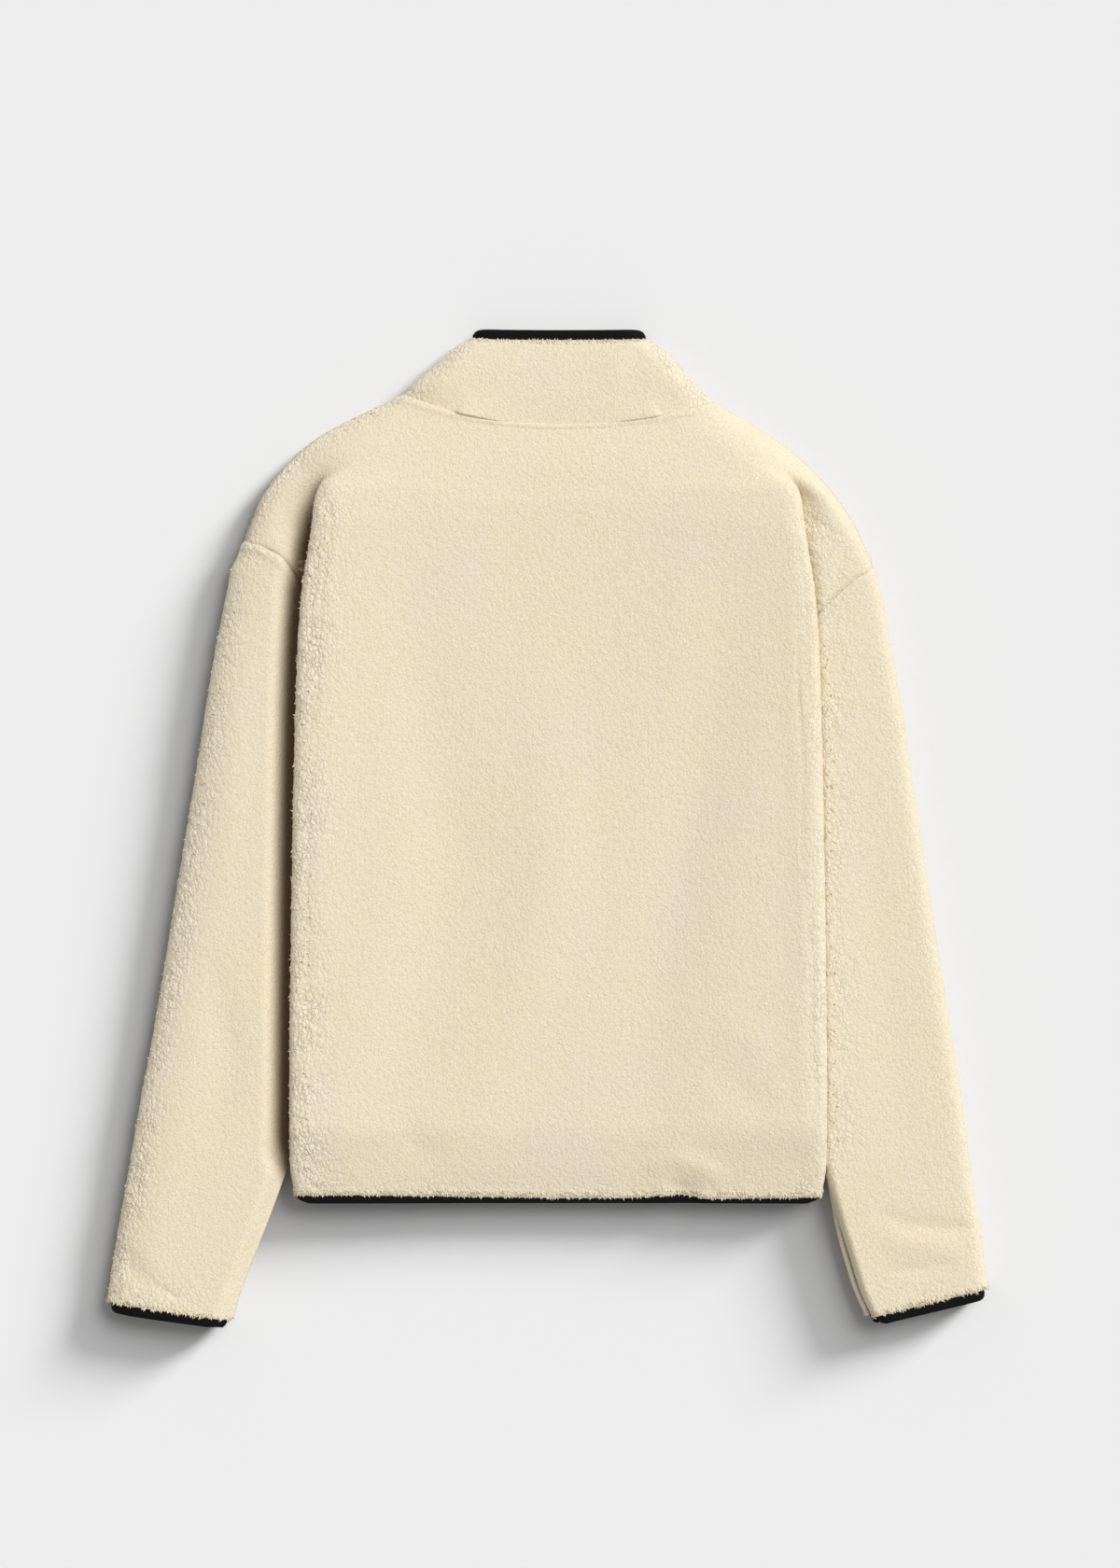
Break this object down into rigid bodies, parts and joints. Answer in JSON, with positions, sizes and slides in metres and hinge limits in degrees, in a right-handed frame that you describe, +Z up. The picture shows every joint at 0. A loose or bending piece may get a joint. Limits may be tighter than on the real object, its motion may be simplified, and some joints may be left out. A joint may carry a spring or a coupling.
{
  "type": "fleece jacket",
  "caption": "Cream sherpa fleece zip jacket with a stand collar and dark bindings, lying flat with its back up and its sides folded under.",
  "frame": {"origin": "middle of the jacket's bounding box, on the surface it lies on", "axes": "+Y towards the collar, +Z up off the surface, +X across the jacket"},
  "size_m": [0.6626, 0.7508, 0.035],
  "materials": {
    "fleece": "deep napped pile",
    "binding": "matt knitted elastic",
    "zip_tape": "woven",
    "zip_chain": "moulded",
    "zip_metal": "satin black"
  },
  "bodies": {
    "jacket": {"back_panel": "fleece", "front_left": "fleece", "front_right": "fleece", "sleeve_left": "fleece", "sleeve_right": "fleece", "collar": "fleece", "collar_binding": "binding", "hem_binding": "binding", "cuff_binding_left": "binding", "cuff_binding_right": "binding", "zip_tape_left": "zip_tape", "zip_tape_right": "zip_tape", "zip_chain": "zip_chain", "zip_box": "zip_chain", "zip_slider": "zip_metal"},
    "zip_pull": {"zip_pull": "zip_metal"}
  },
  "joints": [
    {"name": "pull_tab_hinge", "type": "hinge", "parent": "jacket", "child": "zip_pull", "pos_m": [0.0081, 0.3061, 0.0016], "axis": [1, 0, 0], "range_deg": [0, 170]}
  ]
}
